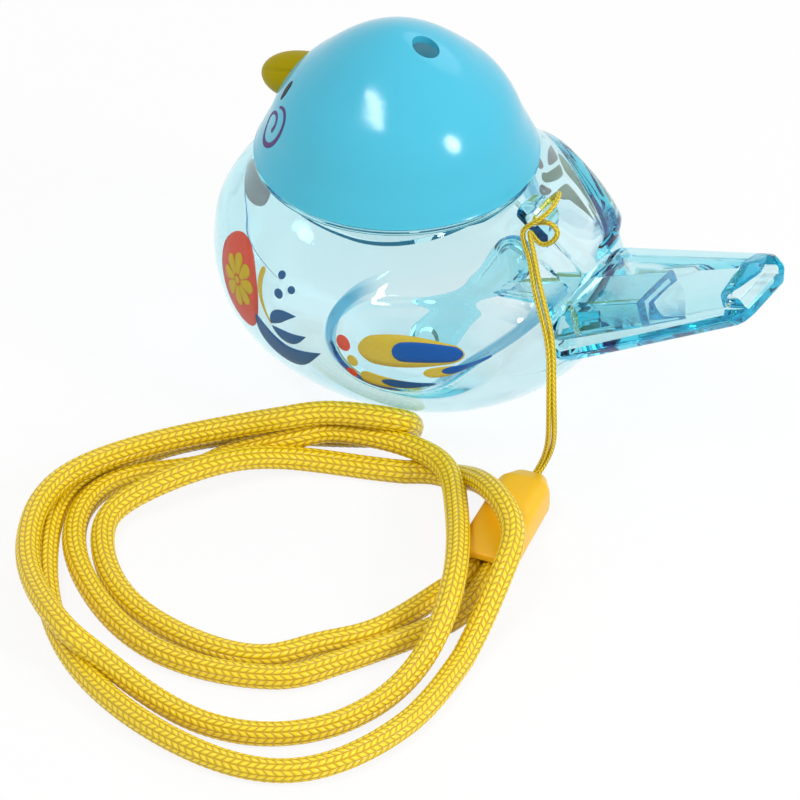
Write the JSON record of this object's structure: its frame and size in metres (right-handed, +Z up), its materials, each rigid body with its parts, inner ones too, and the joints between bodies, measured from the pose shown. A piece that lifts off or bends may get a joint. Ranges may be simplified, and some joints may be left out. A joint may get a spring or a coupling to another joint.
{
  "type": "bird whistle",
  "caption": "Bird-shaped water whistle with a clear tinted hollow body, domed head cap, flat blowing tail and inner tube, on a neck cord with a barrel connector.",
  "frame": {"origin": "centre of the whistle's footprint box, on the surface its belly rests on; the cords are left out of that box", "axes": "+X from beak to tail, +Z up, the two body halves meet on the XZ plane"},
  "size_m": [0.0974, 0.1382, 0.0634],
  "materials": {
    "body_left_clear_blue": "clear pale blue, polished",
    "body_right_clear_blue": "clear pale blue, polished",
    "insert_clear_blue": "clear pale blue, polished",
    "cap_turquoise": "turquoise, soft gloss",
    "beak_mustard": "dark mustard, satin",
    "connector_amber": "amber yellow, satin",
    "neck_cord_yellow": "braided shiny yellow cord",
    "thin_cord_yellow": "thin twisted yellow cord"
  },
  "bodies": {
    "root": {"body_shell_left": "body_left_clear_blue", "body_shell_right": "body_right_clear_blue", "head_cap": "cap_turquoise", "beak": "beak_mustard", "whistle_insert": "insert_clear_blue", "cord_connector": "connector_amber", "neck_cord": "neck_cord_yellow", "hanger_cord": "thin_cord_yellow"}
  },
  "joints": []
}
